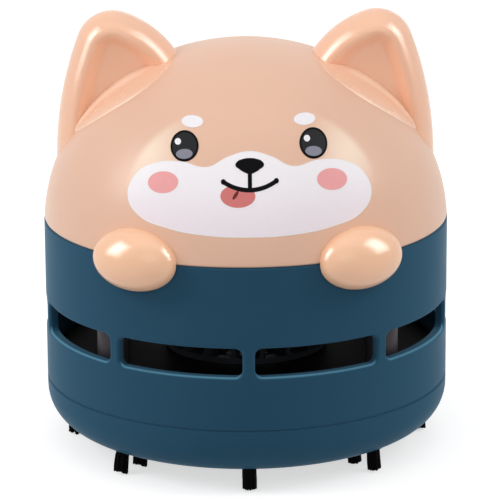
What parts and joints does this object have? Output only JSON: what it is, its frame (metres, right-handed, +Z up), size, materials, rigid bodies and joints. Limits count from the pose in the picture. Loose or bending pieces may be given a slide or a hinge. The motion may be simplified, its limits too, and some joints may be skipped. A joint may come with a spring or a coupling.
{
  "type": "desktop mini vacuum cleaner",
  "caption": "Small round desktop vacuum cleaner with a puppy's head, ears and paws, slots around its body and bristle tufts under it; it lifts off its dust cup.",
  "frame": {"origin": "centre of the bounding box's underside: the bristles' tips, on the body's axis", "axes": "+Z up along the body's axis; the face looks along -Y; +X is to the right for someone who looks at the face"},
  "size_m": [0.085, 0.0863, 0.0923],
  "materials": {
    "head_plastic": "glossy moulded ABS, peach, with a pad-printed face on the head",
    "body_plastic": "glossy moulded ABS, deep teal navy",
    "inner_plastic": "moulded black ABS",
    "bristle": "black nylon bristle",
    "seal_rubber": "moulded black rubber",
    "filter_plastic": "moulded white polypropylene",
    "filter_cloth": "fine woven polyester mesh",
    "fan_plastic": "moulded black ABS",
    "steel": "drawn and ground steel",
    "can_steel": "deep-drawn zinc-plated steel",
    "magnet": "sintered ferrite",
    "winding": "varnished laminations with copper winding",
    "brass": "stamped tinned brass",
    "spring_steel": "nickel-plated spring steel",
    "cell_jacket": "plain shrink sleeve over a dry cell's can",
    "screw_steel": "zinc-plated steel"
  },
  "bodies": {
    "base": {"dust_cup": "body_plastic", "outer_tufts": "bristle", "inner_tufts": "bristle", "cup_seal": "seal_rubber", "filter_frame": "filter_plastic", "filter_mesh": "filter_cloth"},
    "body": {"body_shell": "body_plastic", "fan_shroud": "inner_plastic", "chassis": "inner_plastic", "motor_can": "can_steel", "motor_magnets": "magnet", "motor_end_cap": "inner_plastic", "motor_terminals": "brass", "battery_tray": "inner_plastic", "contact_plates": "spring_steel", "contact_springs": "spring_steel", "front_cell": "cell_jacket", "rear_cell": "cell_jacket", "switch_housing": "inner_plastic", "chassis_screws": "screw_steel", "shroud_screws": "screw_steel", "tray_screws": "screw_steel"},
    "rotor": {"impeller": "fan_plastic", "motor_shaft": "steel", "motor_rotor": "winding"},
    "head": {"head_shell": "head_plastic", "left_ear": "head_plastic", "right_ear": "head_plastic", "left_paw": "head_plastic", "right_paw": "head_plastic", "ear_screws": "screw_steel", "paw_screws": "screw_steel"},
    "switch": {"switch_knob": "inner_plastic"}
  },
  "joints": [
    {"name": "body_lift", "type": "slide", "parent": "base", "child": "body", "axis": [0, 0, 1], "range_m": [0, 0.02]},
    {"name": "head_lift", "type": "slide", "parent": "body", "child": "head", "axis": [0, 0, 1], "range_m": [0, 0.022]},
    {"name": "impeller_spin", "type": "hinge", "parent": "body", "child": "rotor", "pos_m": [0, 0, 0.0285], "axis": [0, 0, 1], "continuous": true},
    {"name": "switch_slide", "type": "slide", "parent": "body", "child": "switch", "axis": [1, 0, 0], "range_m": [0, 0.004]}
  ]
}
